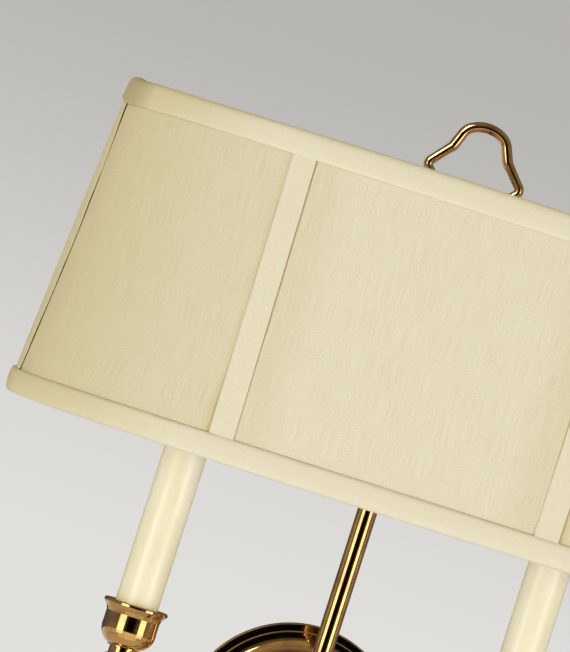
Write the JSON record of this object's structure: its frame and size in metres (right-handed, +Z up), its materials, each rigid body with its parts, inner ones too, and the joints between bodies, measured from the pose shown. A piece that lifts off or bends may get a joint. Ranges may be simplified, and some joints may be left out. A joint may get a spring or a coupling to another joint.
{
  "type": "wall sconce",
  "caption": "Wall sconce with candle-style lamps on scrolled brass arms, a centre rod, and a cloth half shade that is open to the wall and held by a wire loop finial.",
  "frame": {"origin": "centre of the mounting strap's slots, on the wall's surface behind the back plate", "axes": "+Z up along the centre rod, +X to the right of a viewer who faces the sconce, +Y into the wall"},
  "size_m": [0.383, 0.111, 0.4206],
  "materials": {
    "antique_brass": "polished",
    "zinc_steel": "satin",
    "shade_cloth": "matte",
    "lining_cloth": "matte",
    "trim_cloth": "matte",
    "phenolic": "matte",
    "ivory_sleeve": "gloss",
    "frosted_glass": "satin",
    "bulb_cap": "satin",
    "green_screw": "satin"
  },
  "bodies": {
    "bracket": {"back_plate": "antique_brass", "mounting_strap": "zinc_steel", "plate_studs": "antique_brass", "cap_nut_upper": "antique_brass", "cap_nut_lower": "antique_brass", "ground_screw": "green_screw", "stem_nipple": "antique_brass", "stem_nut": "zinc_steel", "stem_flange": "antique_brass", "stem_tube": "antique_brass", "hub": "antique_brass", "drop_finial": "antique_brass", "rod_collar": "antique_brass", "rod": "antique_brass", "shade_seat": "antique_brass", "arm_left": "antique_brass", "arm_right": "antique_brass", "cup_seat_left": "antique_brass", "cup_seat_right": "antique_brass", "cup_left": "antique_brass", "cup_right": "antique_brass", "cup_nut_left": "zinc_steel", "cup_nut_right": "zinc_steel", "socket_bracket_left": "zinc_steel", "socket_bracket_right": "zinc_steel", "socket_left": "phenolic", "socket_right": "phenolic", "screw_shell_left": "antique_brass", "screw_shell_right": "antique_brass", "contact_left": "antique_brass", "contact_right": "antique_brass", "sleeve_left": "ivory_sleeve", "sleeve_right": "ivory_sleeve"},
    "shade": {"top_ring": "zinc_steel", "bottom_ring": "zinc_steel", "back_wire_top": "zinc_steel", "back_wire_bottom": "zinc_steel", "rib_front_left": "zinc_steel", "rib_front_right": "zinc_steel", "rib_end_left": "zinc_steel", "rib_end_right": "zinc_steel", "spider": "zinc_steel", "panel_left": "shade_cloth", "panel_centre": "shade_cloth", "panel_right": "shade_cloth", "lining_left": "lining_cloth", "lining_centre": "lining_cloth", "lining_right": "lining_cloth", "top_trim": "trim_cloth", "bottom_trim": "trim_cloth", "tape_front_left": "trim_cloth", "tape_front_right": "trim_cloth", "tape_end_left": "trim_cloth", "tape_end_right": "trim_cloth"},
    "finial": {"loop_finial": "antique_brass"},
    "bulb_left": {"bulb_base_left": "bulb_cap", "bulb_glass_left": "frosted_glass"},
    "bulb_right": {"bulb_base_right": "bulb_cap", "bulb_glass_right": "frosted_glass"}
  },
  "joints": [
    {"name": "shade_lift", "type": "slide", "parent": "bracket", "child": "shade", "axis": [0, 0, 1], "range_m": [0, 0.17]},
    {"name": "finial_turn", "type": "hinge", "parent": "shade", "child": "finial", "pos_m": [0, -0.052, 0.31], "axis": [0, 0, 1], "continuous": true},
    {"name": "bulb_left_turn", "type": "hinge", "parent": "bracket", "child": "bulb_left", "pos_m": [-0.0963, -0.052, 0.2], "axis": [0, 0, 1], "continuous": true},
    {"name": "bulb_right_turn", "type": "hinge", "parent": "bracket", "child": "bulb_right", "pos_m": [0.0963, -0.052, 0.2], "axis": [0, 0, 1], "continuous": true}
  ]
}
